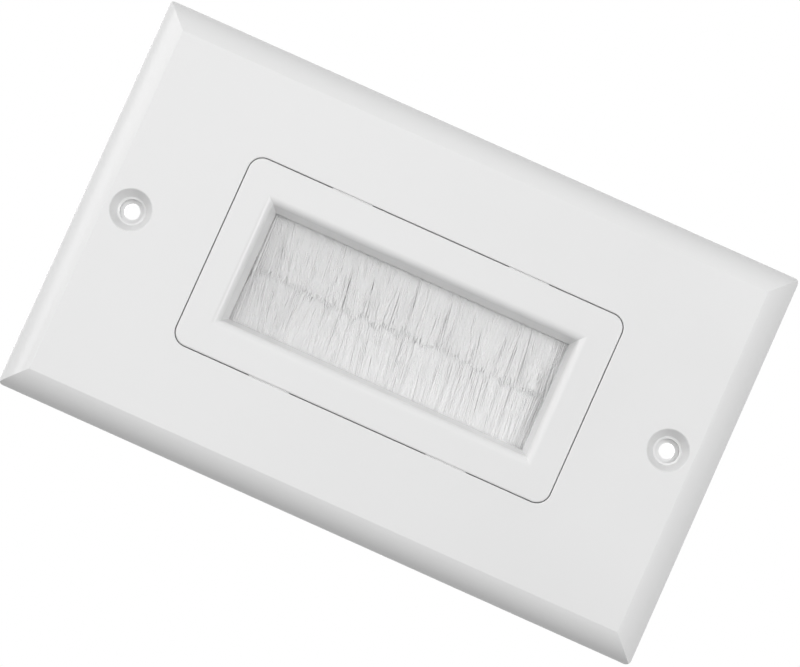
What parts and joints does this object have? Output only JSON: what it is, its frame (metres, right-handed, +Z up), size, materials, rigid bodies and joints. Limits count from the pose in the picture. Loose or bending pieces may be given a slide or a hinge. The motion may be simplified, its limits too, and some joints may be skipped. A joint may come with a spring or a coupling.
{
  "type": "brush wall plate",
  "caption": "Single-gang wall plate, bevelled all round, with a flush insert whose overlapping bristle rows close round cables that pass through the wall.",
  "frame": {"origin": "midway between the strap's two box screw holes, on the wall plane", "axes": "+Z up along the plate's long side, the face towards -Y, +Y into the wall"},
  "size_m": [0.0698, 0.0113, 0.1142],
  "materials": {
    "plate_plastic": "smooth moulded white",
    "insert_plastic": "smooth moulded white",
    "retainer_plastic": "plain moulded white",
    "channel_metal": "folded sheet, satin",
    "core_wire": "drawn wire",
    "nylon_filament": "fine translucent white filaments"
  },
  "bodies": {
    "root": {"wall_plate": "plate_plastic", "insert_frame": "insert_plastic", "brush_retainer": "retainer_plastic", "right_brush_channel": "channel_metal", "right_brush_wire": "core_wire", "right_bristles": "nylon_filament", "left_brush_channel": "channel_metal", "left_brush_wire": "core_wire", "left_bristles": "nylon_filament"}
  },
  "joints": []
}
